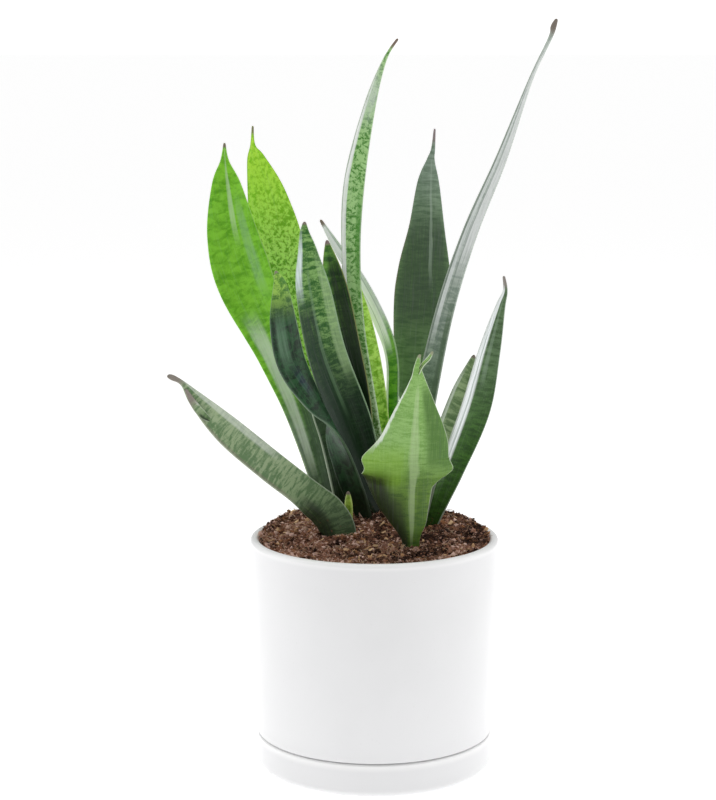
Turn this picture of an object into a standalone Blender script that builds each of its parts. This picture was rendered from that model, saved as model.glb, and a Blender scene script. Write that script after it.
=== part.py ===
"""Potted snake plant: a clump of mottled, sword-shaped leaves in a plain white planter.

Metres, +Z up, front toward -Y. The origin is the middle of the saucer's flat underside, so
the plant stands on Z = 0. The planter rests in a recess of its saucer, the soil fills the
planter, and every leaf stands in its own socket in the soil. Nothing moves.
"""
from math import cos, exp, pi, radians, sin

import bmesh
import bpy
from mathutils import Vector

MM = 0.001
GAP = 0.0003                    # clearance between neighbouring solids
TURN_STEPS = 96                 # sides of a turned piece

# The planter: a slightly flared cylinder whose foot sits down inside the saucer.
RIM_RADIUS = 0.076              # a nominal 6 inch planter, measured over the rim
RIM_HEIGHT = 0.143
WALL = 0.0055
SAUCER_RADIUS = 0.0722
SAUCER_HEIGHT = 0.0205
SAUCER_WALL = 0.0052
SAUCER_FLOOR = 0.005
SEAM = 0.0009                   # shadow gap between the planter's shoulder and the saucer
DRAIN_RADIUS = 0.008

SHOULDER_HEIGHT = SAUCER_HEIGHT + SEAM
FOOT_RADIUS = SAUCER_RADIUS - SAUCER_WALL - 0.0008
FOOT_BOTTOM = SAUCER_FLOOR + GAP
INNER_FLOOR = FOOT_BOTTOM + WALL
LEDGE_HEIGHT = SHOULDER_HEIGHT + WALL

# The soil: a low mound under the clump, lower at the front than at the back.
SOIL_EDGE_HEIGHT = 0.1405
MOUND_HEIGHT = 0.0095
MOUND_CENTRE = (-0.005, 0.030)
MOUND_SPREAD = (0.038, 0.030)
SOIL_TILT = 0.0015
SOCKET_TOP = 0.162              # sockets are cut from above the mound

# Leaves. Each station is (x, y, z, half width, roll, fold, thickness), in millimetres and
# degrees, from the foot in the soil to the tip. Roll turns the blade about its own length,
# and fold is how far each half wraps toward the front (behind, where it is negative).
LEAF_SIDES = 12
LEAF_STEPS = 3                  # rings between two stations

LEAVES = {
    "leaf_left_bright": ((0.13, 0.33, 0.04), [
        (-25, 29, 124, 4.5, 10, 50, 5.0), (-28, 30, 151, 6, 10, 45, 4.4),
        (-44, 37, 209, 10, 12, 35, 3.0), (-60, 45, 249, 13.5, 12, 28, 2.4),
        (-79, 52, 292, 18.8, 10, 22, 2.2), (-88, 56, 322, 16.5, 5, 22, 2.0),
        (-92, 58, 353, 9.5, 0, 25, 1.7), (-93, 60, 368, 2.8, 0, 30, 1.4),
        (-93, 60, 379, 0.8, 0, 30, 1.0)]),
    "leaf_left_back": ((0.24, 0.50, 0.06), [
        (-22, 44, 124, 4.5, 0, 40, 5.0), (-27, 47, 152, 6, 0, 40, 4.4),
        (-40, 56, 206, 10, -5, 30, 3.0), (-50, 67, 252, 14.5, -8, 20, 2.4),
        (-61, 82, 308, 17.5, -10, 16, 2.2), (-68, 88, 343, 12.8, -8, 18, 1.9),
        (-75, 92, 367, 6, -5, 22, 1.6), (-77, 93, 376, 1.6, 0, 25, 1.2),
        (-77, 94, 388, 0.7, 0, 25, 0.9)]),
    "leaf_twisted": ((0.04, 0.10, 0.06), [
        (-4, 20, 124, 4.5, 20, 45, 4.6), (-6, 18, 150, 5.5, 25, 40, 4.2),
        (-13, 12, 171, 8, 28, 30, 3.6), (-22, 4, 199, 9, 50, 22, 3.0),
        (-27, 1, 214, 9.5, 88, 20, 2.8), (-36, -1, 227, 10, 118, 20, 2.5),
        (-49, -6, 251, 10.5, 145, 24, 2.3), (-54, -9, 275, 9.2, 150, 24, 2.1),
        (-56, -12, 297, 5.0, 150, 24, 1.7), (-59, -13, 307, 0.8, 150, 24, 1.1)]),
    "leaf_short_inner": ((0.05, 0.14, 0.06), [
        (-19, 24, 124, 3.4, 0, 40, 3.8), (-20, 23, 152, 3.8, 0, 40, 3.6),
        (-24, 22, 178, 4.8, 0, 30, 3.0), (-29, 20, 200, 4.8, 0, 25, 2.4),
        (-35, 18, 216, 3.6, 0, 25, 1.8), (-39, 17, 226, 0.8, 0, 25, 1.2)]),
    "leaf_centre_wide": ((0.07, 0.20, 0.08), [
        (8, 26, 124, 5, 0, 60, 5.0), (6, 26, 150, 6.5, 0, 58, 4.4),
        (-5, 25, 186, 9.8, -6, 52, 3.2), (-14.2, 22, 213, 12.8, -8, 46, 2.6),
        (-29, 14, 254, 12.7, -10, 42, 2.3), (-37.4, 8, 294, 11, -10, 40, 2.0),
        (-40.5, 4, 317, 6.2, -8, 36, 1.7), (-42, 2, 328, 3.1, -5, 30, 1.4),
        (-42, 2, 335, 0.8, 0, 30, 1.0)]),
    "leaf_centre_small": ((0.05, 0.16, 0.05), [
        (-7, 38, 124, 4.2, 0, 40, 4.6), (-7.5, 36.5, 151, 5, 0, 36, 4.2),
        (-7.8, 32, 180, 5.8, 0, 32, 3.5), (-7, 29.3, 208, 6.3, 0, 28, 2.8),
        (-10.3, 28.3, 231, 6.9, 0, 26, 2.5), (-14.4, 27.3, 251, 7.1, 0, 25, 2.3),
        (-21.5, 25.5, 284, 7.5, 0, 24, 2.0), (-25, 24, 299.5, 6.6, 0, 24, 1.8),
        (-27.2, 23, 311, 4.2, 0, 24, 1.5), (-29, 22.5, 322, 0.8, 0, 24, 1.0)]),
    "leaf_tall_curved": ((0.16, 0.36, 0.12), [
        (9, 35, 124, 4, 6, 50, 4.6), (8, 35, 152, 4.6, 6, 48, 4.2),
        (-3, 35, 219, 5, 8, 45, 3.0), (-11, 35, 266, 5.9, 10, 40, 2.5),
        (-14, 34, 312, 6.2, 10, 38, 2.3), (-12, 32, 356, 6.8, 10, 36, 2.1),
        (-3, 29, 402, 3.8, 5, 34, 1.8), (6, 28, 430, 1.2, 0, 30, 1.5),
        (14, 26, 443, 0.7, 0, 30, 1.0)]),
    "leaf_arched": ((0.14, 0.36, 0.08), [
        (13, 51, 124, 3.6, 20, 40, 4.4), (13, 52, 152, 4, 20, 38, 4.0),
        (12, 57, 208, 4.4, 24, 34, 2.9), (12, 61, 241, 4.6, 28, 30, 2.5),
        (6, 67, 263, 5.4, 30, 30, 2.3), (-8, 75, 290, 5.0, 25, 30, 2.1),
        (-22, 80, 310, 3.2, 10, 28, 1.7), (-34, 85, 329, 0.8, 0, 26, 1.0)]),
    "leaf_lime_inner": ((0.22, 0.46, 0.05), [
        (8, 43, 124, 3.6, 0, 36, 4.2), (8, 44, 151, 4, 0, 34, 3.8),
        (5, 49, 205, 4.6, 0, 28, 2.8), (0, 56, 237, 5.6, 0, 24, 2.4),
        (-6, 62, 267, 4.8, 0, 22, 2.0), (-11, 67, 294, 0.8, 0, 20, 1.2)]),
    "leaf_back_wide": ((0.10, 0.19, 0.11), [
        (24, 46, 124, 4.6, 0, -40, 4.8), (24, 51, 152, 5.6, 0, -40, 4.4),
        (27, 68, 208, 10.5, 0, -34, 3.2), (29, 77, 248, 16.5, 0, -28, 2.6),
        (31.5, 82, 279, 19, 0, -26, 2.4), (32.5, 86, 300, 16.8, 0, -26, 2.2),
        (34, 90, 324, 11.8, 0, -26, 2.0), (35, 95, 352, 7.2, 0, -26, 1.7),
        (36.5, 97, 366, 2.7, 0, -26, 1.4), (39, 99, 386, 0.7, 0, -24, 0.9)]),
    "leaf_tall_right": ((0.24, 0.36, 0.22), [
        (19, 30, 122, 4, 0, 50, 4.8), (21, 32, 152, 5, 2, 50, 4.4),
        (31, 40, 214, 7.2, 4, 48, 3.2), (44, 49, 274, 6.2, 6, 46, 2.7),
        (60, 57, 323, 5.2, 8, 44, 2.4), (79, 62, 368, 3.8, 8, 40, 2.1),
        (97, 65, 417, 1.3, 5, 36, 1.8), (109, 66, 446, 1.3, 0, 30, 1.7),
        (113, 66, 455, 0.7, 0, 30, 1.1)]),
    "leaf_front_broken": ((0.18, 0.40, 0.07), [
        (22, -25, 122, 4.2, 0, 50, 4.6), (21.2, -25, 145, 6, 0, 45, 4.2),
        (19.5, -25, 156, 12, 0, 34, 3.7), (16.8, -25, 165.5, 16.2, 0, 24, 3.3),
        (15, -25.3, 175, 19.5, 0, 12, 2.9), (16.5, -26.7, 185, 24, 0, -8, 2.7),
        (19.2, -28.5, 193.5, 27, 0, -14, 2.5), (20.5, -31.5, 203, 23.6, 0, -18, 2.4),
        (23.4, -35, 214, 18, 0, -24, 2.2), (24.6, -39.5, 229, 12, 0, -24, 2.1),
        (25, -42.5, 240, 7.6, 0, -24, 1.9), (26, -46, 252, 2.0, 0, -24, 1.6),
        (33, -49, 264, 0.8, 0, -24, 1.0)]),
    "leaf_right": ((0.11, 0.24, 0.08), [
        (31, 14, 124, 4, -10, 50, 4.8), (34, 12, 145, 4.6, -12, 48, 4.4),
        (46, 4, 183, 9, -20, 44, 3.2), (59, -7, 222, 11, -24, 42, 2.6),
        (67, -15, 258, 8.2, -24, 40, 2.2), (74, -20, 286, 3.4, -18, 34, 1.8),
        (77, -21, 296, 1.5, -10, 30, 1.4), (76, -22, 305, 0.7, 0, 30, 1.0)]),
    "leaf_right_small": ((0.14, 0.30, 0.10), [
        (29, 27, 124, 3.6, 0, 40, 4.2), (31, 28, 152, 4, 0, 38, 3.9),
        (42, 37, 193, 6, -10, 34, 2.8), (53, 46, 222, 5.8, -10, 30, 2.3),
        (61, 51, 241, 2.6, -5, 28, 1.8), (63, 52, 247, 0.7, 0, 28, 1.2)]),
    "leaf_low_left": ((0.15, 0.26, 0.14), [
        (-22, -8, 124, 8.5, -8, 30, 4.8), (-22.5, -8, 146, 11, -10, 22, 4.2),
        (-28, -8.5, 159, 10.3, -18, 26, 3.5), (-45, -11, 174, 9.7, -22, 28, 2.9),
        (-64, -14, 189.4, 10, -24, 26, 2.5),
        (-88, -23, 212, 9.2, -24, 26, 2.2), (-105, -33, 232, 5.2, -20, 26, 1.8),
        (-113, -37, 243, 1.4, -20, 26, 1.4), (-122, -40, 248, 0.8, -20, 26, 1.0)]),
    "sprout": ((0.30, 0.48, 0.06), [
        (-15.5, 4, 128, 1.9, 0, 60, 2.6), (-15.5, 4, 151, 2.1, 0, 60, 2.6),
        (-15.8, 3, 162, 2.1, 0, 50, 2.2), (-16, 2.5, 170, 0.7, 0, 40, 1.0)]),
}


def clear_scene():
    for old in list(bpy.data.objects):
        bpy.data.objects.remove(old, do_unlink=True)


def make_collection(name):
    collection = bpy.data.collections.new(name)
    bpy.context.scene.collection.children.link(collection)
    return collection


def make_material(name, colour, roughness):
    material = bpy.data.materials.new(name)
    material.use_nodes = True
    shader = material.node_tree.nodes["Principled BSDF"]
    shader.inputs["Base Color"].default_value = (*colour, 1.0)
    shader.inputs["Roughness"].default_value = roughness
    shader.inputs["Metallic"].default_value = 0.0
    return material


def arc(centre_r, centre_z, radius, start, end, steps=5):
    """Points of a rounded corner in the (radius, height) plane, angles in degrees."""
    angles = [radians(start + (end - start) * i / steps) for i in range(steps + 1)]
    return [(centre_r + radius * cos(a), centre_z + radius * sin(a)) for a in angles]


def turned(name, profile, collection, material):
    """A closed profile, running down its outer side, turned about Z."""
    mesh = bpy.data.meshes.new(name)
    count = len(profile)
    closed = profile[0][0] > 0
    edges = [(i, i + 1) for i in range(count - 1)] + ([(count - 1, 0)] if closed else [])
    mesh.from_pydata([(r, 0.0, z) for r, z in profile], edges, [])
    piece = bpy.data.objects.new(name, mesh)
    collection.objects.link(piece)
    screw = piece.modifiers.new("turn", "SCREW")
    screw.steps = screw.render_steps = TURN_STEPS
    screw.use_merge_vertices = True
    screw.merge_threshold = 0.00001
    screw.use_smooth_shade = True
    piece.data.materials.append(material)
    return piece


def make_saucer(collection):
    """A shallow round dish with a flat underside and a recess for the planter's foot."""
    top = SAUCER_HEIGHT
    recess = SAUCER_RADIUS - SAUCER_WALL
    profile = [(0.0, SAUCER_FLOOR)]
    profile += arc(recess - 0.002, SAUCER_FLOOR + 0.002, 0.002, -90, 0)
    profile += arc(recess + 0.001, top - 0.001, 0.001, 180, 90, 3)
    profile += arc(SAUCER_RADIUS - 0.001, top - 0.001, 0.001, 90, 0, 3)
    profile += arc(SAUCER_RADIUS - 0.0045, 0.0045, 0.0045, 0, -90, 6)
    profile += [(0.0, 0.0)]
    glaze = make_material("white_glaze_saucer", (0.86, 0.87, 0.88), 0.35)
    return turned("saucer", profile, collection, glaze)


def make_pot(collection):
    """The planter: one wall from the rounded lip to a narrower foot with a drain hole."""
    lip = WALL / 2
    inner_foot = FOOT_RADIUS - WALL
    inner_ledge = SAUCER_RADIUS - WALL
    profile = arc(RIM_RADIUS - lip, RIM_HEIGHT - lip, lip, 180, 0, 8)
    profile += arc(SAUCER_RADIUS - 0.0008, SHOULDER_HEIGHT + 0.0008, 0.0008, 0, -90, 2)
    profile += [(FOOT_RADIUS, SHOULDER_HEIGHT)]
    profile += arc(FOOT_RADIUS - 0.0025, FOOT_BOTTOM + 0.0025, 0.0025, 0, -90, 3)
    profile += [(DRAIN_RADIUS, FOOT_BOTTOM), (DRAIN_RADIUS, INNER_FLOOR)]
    profile += arc(inner_foot - 0.003, INNER_FLOOR + 0.003, 0.003, -90, 0, 3)
    profile += [(inner_foot, LEDGE_HEIGHT), (inner_ledge, LEDGE_HEIGHT + 0.003)]
    glaze = make_material("white_glaze_pot", (0.88, 0.89, 0.90), 0.35)
    return turned("pot", profile, collection, glaze)


def soil_lift(x, y):
    """Height of the soil's top at (x, y) above its edge height."""
    across = (x - MOUND_CENTRE[0]) / MOUND_SPREAD[0]
    along = (y - MOUND_CENTRE[1]) / MOUND_SPREAD[1]
    return MOUND_HEIGHT * exp(-(across ** 2 + along ** 2) / 2) + SOIL_TILT * y / RIM_RADIUS


def make_soil(collection, cutters):
    """Potting mix filling the planter, mounded round the clump and socketed for each leaf."""
    inner_rim = RIM_RADIUS - WALL - GAP
    inner_foot = FOOT_RADIUS - WALL - GAP
    inner_ledge = SAUCER_RADIUS - WALL - GAP
    slope = (RIM_RADIUS - SAUCER_RADIUS) / (RIM_HEIGHT - WALL / 2 - LEDGE_HEIGHT - 0.003)
    edge = inner_rim - slope * (RIM_HEIGHT - WALL / 2 - SOIL_EDGE_HEIGHT) - GAP
    rings = 12
    profile = [(edge * i / rings, SOIL_EDGE_HEIGHT) for i in range(rings + 1)]
    profile += [(edge - slope * 0.006, SOIL_EDGE_HEIGHT - 0.006)]
    profile += [(inner_ledge, LEDGE_HEIGHT + 0.003 + GAP), (inner_foot, LEDGE_HEIGHT + GAP)]
    profile += arc(inner_foot - 0.003, INNER_FLOOR + 0.003 + GAP, 0.003, 0, -90, 3)
    profile += [(0.0, INNER_FLOOR + GAP)]
    mix = make_material("potting_mix", (0.16, 0.08, 0.05), 0.95)
    turning = turned("soil_turning", profile, collection, mix)
    evaluated = turning.evaluated_get(bpy.context.evaluated_depsgraph_get())
    mesh = bpy.data.meshes.new_from_object(evaluated)
    bpy.data.objects.remove(turning, do_unlink=True)
    for vertex in mesh.vertices:
        if vertex.co.z > SOIL_EDGE_HEIGHT - 0.0001:
            vertex.co.z += soil_lift(vertex.co.x, vertex.co.y)
    soil = bpy.data.objects.new("soil", mesh)
    collection.objects.link(soil)
    sockets = soil.modifiers.new("leaf_sockets", "BOOLEAN")
    sockets.operation = "DIFFERENCE"
    sockets.operand_type = "COLLECTION"
    sockets.collection = cutters
    sockets.solver = "EXACT"
    return soil


def smooth_between(rows, position):
    """Uniform Catmull-Rom value of a list of number rows at a fractional row index."""
    span = min(int(position), len(rows) - 2)
    t = position - span
    before, start = rows[max(span - 1, 0)], rows[span]
    end, after = rows[span + 1], rows[min(span + 2, len(rows) - 1)]
    return [
        0.5 * (2 * b + (c - a) * t + (2 * a - 5 * b + 4 * c - d) * t ** 2
               + (3 * b - a - 3 * c + d) * t ** 3)
        for a, b, c, d in zip(before, start, end, after)
    ]


def blade_ring(centre, heading, row, grow):
    """One closed section of a blade: a thin lens bent into a channel."""
    half, roll, fold, thickness = row[3] * MM + grow, radians(row[4]), radians(row[5]), row[6] * MM
    front = Vector((0.0, -1.0, 0.0))
    face = (front - heading * front.dot(heading)).normalized()
    side = heading.cross(face)
    across = side * cos(roll) + face * sin(roll)
    out = face * cos(roll) - side * sin(roll)
    ring = []
    for i in range(LEAF_SIDES):
        angle = 2 * pi * i / LEAF_SIDES
        bend = fold * cos(angle)
        x = half * sin(bend) / fold
        y = half * (1 - cos(bend)) / fold
        skin = (thickness / 2 + grow) * abs(sin(angle)) ** 0.6
        skin = skin if sin(angle) > 0 else -skin
        normal = out * cos(bend) - across * sin(bend)
        ring.append(centre + across * x + out * y + normal * skin)
    return ring


def blade_mesh(name, stations, grow=0.0, top=None):
    """Loft of blade sections along the stations; grow fattens it to cut a socket."""
    bm = bmesh.new()
    rings = []
    count = (len(stations) - 1) * LEAF_STEPS
    for i in range(count + 1):
        row = smooth_between(stations, i / LEAF_STEPS)
        centre = Vector(row[:3]) * MM
        ahead = smooth_between(stations, min(i / LEAF_STEPS + 0.02, len(stations) - 1))
        behind = smooth_between(stations, max(i / LEAF_STEPS - 0.02, 0))
        heading = (Vector(ahead[:3]) - Vector(behind[:3])).normalized()
        if i == 0:
            centre -= heading * grow
        rings.append([bm.verts.new(p) for p in blade_ring(centre, heading, row, grow)])
        if top and centre.z > top:
            break
    for lower, upper in zip(rings, rings[1:]):
        for i in range(LEAF_SIDES):
            j = (i + 1) % LEAF_SIDES
            bm.faces.new((lower[i], lower[j], upper[j], upper[i]))
    bm.faces.new(rings[0][::-1])
    bm.faces.new(rings[-1])
    bmesh.ops.recalc_face_normals(bm, faces=bm.faces)
    mesh = bpy.data.meshes.new(name)
    bm.to_mesh(mesh)
    bm.free()
    mesh.shade_smooth()
    return mesh


def make_leaf(name, colour, stations, collection):
    leaf = bpy.data.objects.new(name, blade_mesh(name, stations))
    leaf.data.materials.append(make_material(name, colour, 0.4))
    collection.objects.link(leaf)
    return leaf


def make_socket_cutter(name, stations, cutters):
    mesh = blade_mesh(name + "_socket", stations, grow=GAP + 0.0002, top=SOCKET_TOP)
    cutter = bpy.data.objects.new(name + "_socket", mesh)
    cutter.hide_render = True
    cutter.display_type = "WIRE"
    cutters.objects.link(cutter)
    return cutter


clear_scene()
plant = make_collection("potted_snake_plant")
socket_cutters = make_collection("socket_cutters")
for leaf_name, (leaf_colour, leaf_stations) in LEAVES.items():
    make_socket_cutter(leaf_name, leaf_stations, socket_cutters)
    make_leaf(leaf_name, leaf_colour, leaf_stations, plant)
make_saucer(plant)
make_pot(plant)
make_soil(plant, socket_cutters)
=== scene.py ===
"""Potted snake plant, finished: glazed planter and saucer, potting mix, and mottled leaves.

Metres, +Z up, front toward -Y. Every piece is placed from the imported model's own frame.
"""
from math import cos, exp, pi, radians, sin

import bpy
import numpy as np
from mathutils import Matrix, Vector


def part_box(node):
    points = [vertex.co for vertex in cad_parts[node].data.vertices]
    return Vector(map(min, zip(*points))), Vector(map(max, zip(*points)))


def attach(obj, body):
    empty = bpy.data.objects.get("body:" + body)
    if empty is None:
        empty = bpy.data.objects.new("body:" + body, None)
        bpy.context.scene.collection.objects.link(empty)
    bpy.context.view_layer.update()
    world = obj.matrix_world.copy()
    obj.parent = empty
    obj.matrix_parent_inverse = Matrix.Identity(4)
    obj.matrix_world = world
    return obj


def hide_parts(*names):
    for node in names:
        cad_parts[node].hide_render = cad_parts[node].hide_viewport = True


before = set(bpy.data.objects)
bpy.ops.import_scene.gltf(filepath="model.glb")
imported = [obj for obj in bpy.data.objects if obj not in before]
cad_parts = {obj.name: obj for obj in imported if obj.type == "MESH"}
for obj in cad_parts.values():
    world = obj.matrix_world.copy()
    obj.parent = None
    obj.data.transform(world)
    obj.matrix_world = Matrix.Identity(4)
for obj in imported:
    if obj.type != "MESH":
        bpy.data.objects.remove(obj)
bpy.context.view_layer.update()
MM = 0.001

# ---------------------------------------------------------------------------------------
# Saucer: a round dish of white-glazed stoneware, jiggered and fired, with a rounded foot
# edge and a recess that takes the planter's foot. It stands on its own flat underside.
saucer_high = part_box("saucer")[1]
saucer_radius = saucer_high.x
saucer_top = saucer_high.z
saucer_wall = 5.2 * MM
saucer_floor = 5 * MM
lip_round = 1.1 * MM
foot_round = 4.5 * MM
recess_round = 2 * MM


def add(tree, kind, inputs=None, **settings):
    """One node of a tree. Settings are its properties; inputs are links or plain values."""
    made = tree.nodes.new(kind)
    for name, value in settings.items():
        setattr(made, name, value)
    for key, value in (inputs or {}).items():
        socket = made.inputs[key]
        if isinstance(value, bpy.types.NodeSocket):
            tree.links.new(value, socket)
        else:
            socket.default_value = value
    return made


def calc(tree, operation, a, b=0.0, c=0.0):
    """The result of one Math node."""
    return add(tree, "ShaderNodeMath", {0: a, 1: b, 2: c}, operation=operation).outputs[0]


def times(tree, a, b):
    return calc(tree, "MULTIPLY", a, b)


def minus(tree, a, b):
    return calc(tree, "SUBTRACT", a, b)


def vector_calc(tree, operation, a, b=(0.0, 0.0, 0.0)):
    """The result of one Vector Math node."""
    return add(tree, "ShaderNodeVectorMath", {0: a, 1: b}, operation=operation).outputs[0]


def stretch(tree, vector, factor):
    node = add(tree, "ShaderNodeVectorMath", {0: vector, "Scale": factor}, operation="SCALE")
    return node.outputs[0]


def xyz(tree, vector):
    """The three numbers of a vector."""
    return add(tree, "ShaderNodeSeparateXYZ", {0: vector}).outputs


def vector_of(tree, x, y, z):
    """A vector from its three numbers."""
    return add(tree, "ShaderNodeCombineXYZ", {0: x, 1: y, 2: z}).outputs[0]


def paint(code):
    """A linear colour from a six-figure sRGB code."""
    parts = [int(code[i:i + 2], 16) / 255 for i in (0, 2, 4)]
    return [p / 12.92 if p <= 0.04045 else ((p + 0.055) / 1.055) ** 2.4 for p in parts] + [1.0]


def mix(tree, factor, a, b):
    """The result of mixing two colours."""
    return add(tree, "ShaderNodeMix", {0: factor, 6: a, 7: b}, data_type="RGBA").outputs[2]


def ease(tree, value, start, end):
    """0 below start, 1 above end, and a smooth change between them."""
    node = add(tree, "ShaderNodeMapRange", {0: value, 1: start, 2: end},
               interpolation_type="SMOOTHSTEP")
    return node.outputs[0]


def noise(tree, vector, scale, detail=2.0, roughness=0.5, distortion=0.0):
    """Noise of about 0 to 1 at a place."""
    node = add(tree, "ShaderNodeTexNoise", {"Vector": vector, "Scale": scale, "Detail": detail,
                                            "Roughness": roughness, "Distortion": distortion})
    return node.outputs[0]


def group_tree(name, kind, inputs, outputs):
    """A node group and its two end nodes. Each input has a start value or a kind of socket."""
    tree = bpy.data.node_groups.new(name, kind)
    for label, start in inputs.items():
        number = "Int" if isinstance(start, int) else "Float"
        socket_kind = start if isinstance(start, str) else number
        socket = tree.interface.new_socket(label, in_out="INPUT",
                                           socket_type="NodeSocket" + socket_kind)
        if socket_kind == number:
            socket.default_value = start
    for label, socket_kind in outputs.items():
        tree.interface.new_socket(label, in_out="OUTPUT", socket_type="NodeSocket" + socket_kind)
    return tree, tree.nodes.new("NodeGroupInput"), tree.nodes.new("NodeGroupOutput")


def send(tree, result, **values):
    """Links values to the outputs of a group."""
    for label, value in values.items():
        tree.links.new(value, result.inputs[label])


def new_material(name, roughness, **constants):
    """A material with its Principled BSDF; constants are plain values of the shader."""
    material = bpy.data.materials.new(name)
    material.use_nodes = True
    tree = material.node_tree
    shader = tree.nodes["Principled BSDF"]
    shader.inputs["Roughness"].default_value = roughness
    for label, value in constants.items():
        shader.inputs[label.replace("_", " ")].default_value = value
    return material, tree, shader


def arc(centre_r, centre_z, radius, start, end, steps):
    """Points of a rounded corner in the (radius, height) plane, angles in degrees."""
    angles = [radians(start + (end - start) * i / steps) for i in range(steps + 1)]
    return [(centre_r + radius * cos(a), centre_z + radius * sin(a)) for a in angles]


def turned_mesh(name, profile, sides=192):
    """A profile that runs down its outer side, turned about Z into a closed mesh."""
    line = bpy.data.meshes.new(name)
    count = len(profile)
    closed = [(count - 1, 0)] if profile[0][0] > 0 else []
    line.from_pydata([(r, 0, z) for r, z in profile],
                     [(i, i + 1) for i in range(count - 1)] + closed, [])
    blank = bpy.data.objects.new(name, line)
    bpy.context.scene.collection.objects.link(blank)
    screw = blank.modifiers.new("turn", "SCREW")
    screw.steps = screw.render_steps = sides
    screw.use_merge_vertices = True
    screw.merge_threshold = 0.00001
    mesh = bpy.data.meshes.new_from_object(
        blank.evaluated_get(bpy.context.evaluated_depsgraph_get()))
    bpy.data.objects.remove(blank, do_unlink=True)
    mesh.shade_smooth()
    return mesh


def place(name, mesh, slot, *nodes):
    """A finished piece: it rides on the one body and stands for its CAD nodes."""
    mesh.name = name
    piece = bpy.data.objects.new(name, mesh)
    bpy.context.scene.collection.objects.link(piece)
    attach(piece, "root")
    if nodes:
        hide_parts(*nodes)


def glaze_surface():
    """Satin glaze: faint clouding, a painted highlight that lifts the lip out of its shade, a
    slightly uneven skin and dust low down.
    """
    tree, source, result = group_tree(
        "glaze_surface", "ShaderNodeTree",
        {"Glaze": "Color", "Cloud": "Color", "Foot Height": 0.02, "Lip Highlight Height": 0.1, "Seed": 0.0},
        {"Color": "Color", "Roughness": "Float", "Height": "Float"})
    given = source.outputs
    place_at = add(tree, "ShaderNodeTexCoord").outputs["Object"]
    shifted = vector_calc(tree, "ADD", place_at, given["Seed"])
    height = xyz(tree, place_at)[2]
    cloud = noise(tree, shifted, 22.0, 3.0)
    foot = ease(tree, height, calc(tree, "ADD", given["Foot Height"], 0.012), given["Foot Height"])
    amount = calc(tree, "MULTIPLY_ADD", ease(tree, cloud, 0.45, 0.75), 0.35, times(tree, foot, 0.25))
    colour = mix(tree, amount, given["Glaze"], given["Cloud"])
    # Painted highlight: the top five millimetres below the lip height are mixed toward near-white,
    # lifting the rolled lip out of the shade it sits in.
    lip = ease(tree, height, minus(tree, given["Lip Highlight Height"], 0.005),
               minus(tree, given["Lip Highlight Height"], 0.001))
    colour = mix(tree, lip, colour, paint("FDFDFD"))
    specks = ease(tree, noise(tree, shifted, 900.0, 0.0), 0.80, 0.86)
    colour = mix(tree, times(tree, specks, 0.12), colour, paint("B9B4A8"))
    skin = noise(tree, shifted, 260.0, 2.0)
    rough = calc(tree, "MULTIPLY_ADD", cloud, 0.10, 0.25)
    height_out = calc(tree, "MULTIPLY_ADD", skin, 0.35, times(tree, cloud, 0.65))
    send(tree, result, Color=colour, Roughness=rough, Height=height_out)
    return tree


GLAZE_SURFACE = glaze_surface()


def glazed_stoneware(name, glaze, cloud, foot_height, lip_highlight_height, seed):
    """White stoneware under a satin glaze, for one turned piece."""
    material, tree, shader = new_material(name, 0.3, Coat_Weight=0.25, Coat_Roughness=0.12)
    surface = add(tree, "ShaderNodeGroup", node_tree=GLAZE_SURFACE)
    settings = {"Glaze": paint(glaze), "Cloud": paint(cloud), "Foot Height": foot_height,
                "Lip Highlight Height": lip_highlight_height, "Seed": seed}
    for label, value in settings.items():
        surface.inputs[label].default_value = value
    tree.links.new(surface.outputs["Color"], shader.inputs["Base Color"])
    tree.links.new(surface.outputs["Roughness"], shader.inputs["Roughness"])
    bump = add(tree, "ShaderNodeBump", {"Height": surface.outputs["Height"], "Strength": 0.25,
                                        "Distance": 0.0002})
    tree.links.new(bump.outputs[0], shader.inputs["Normal"])
    return material


recess = saucer_radius - saucer_wall
saucer_profile = [(0.0, saucer_floor)]
saucer_profile += arc(recess - recess_round, saucer_floor + recess_round, recess_round, -90, 0, 8)
saucer_profile += arc(recess + lip_round, saucer_top - lip_round, lip_round, 180, 90, 6)
saucer_profile += arc(saucer_radius - lip_round, saucer_top - lip_round, lip_round, 90, 0, 6)
saucer_profile += arc(saucer_radius - foot_round, foot_round, foot_round, 0, -90, 12)
saucer_profile += [(0.0, 0.0)]
saucer_mesh = turned_mesh("saucer_turning", saucer_profile)
saucer_mesh.materials.append(glazed_stoneware(
    "saucer_glaze", glaze="EEEEEF", cloud="E7E7E8", foot_height=2 * MM, lip_highlight_height=saucer_top,
    seed=3.0))
place("saucer_dish", saucer_mesh, "saucer", "saucer")

# ---------------------------------------------------------------------------------------
# Planter: the same white-glazed stoneware, a slightly flared cylinder with a soft rolled
# lip. Its narrower foot has a drain hole and sits in the saucer, which leaves a fine seam.
pot_low, pot_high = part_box("pot")
rim_radius = pot_high.x
rim_height = pot_high.z
foot_bottom = pot_low.z
pot_wall = 5.5 * MM
seam = 0.9 * MM
foot_gap = 0.8 * MM
shoulder_height = saucer_top + seam
foot_radius = saucer_radius - saucer_wall - foot_gap
pot_floor = foot_bottom + pot_wall
ledge_height = shoulder_height + pot_wall
shoulder_round = 0.9 * MM
foot_edge_round = 2.5 * MM
inner_round = 3 * MM
drain_radius = 8 * MM

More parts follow.
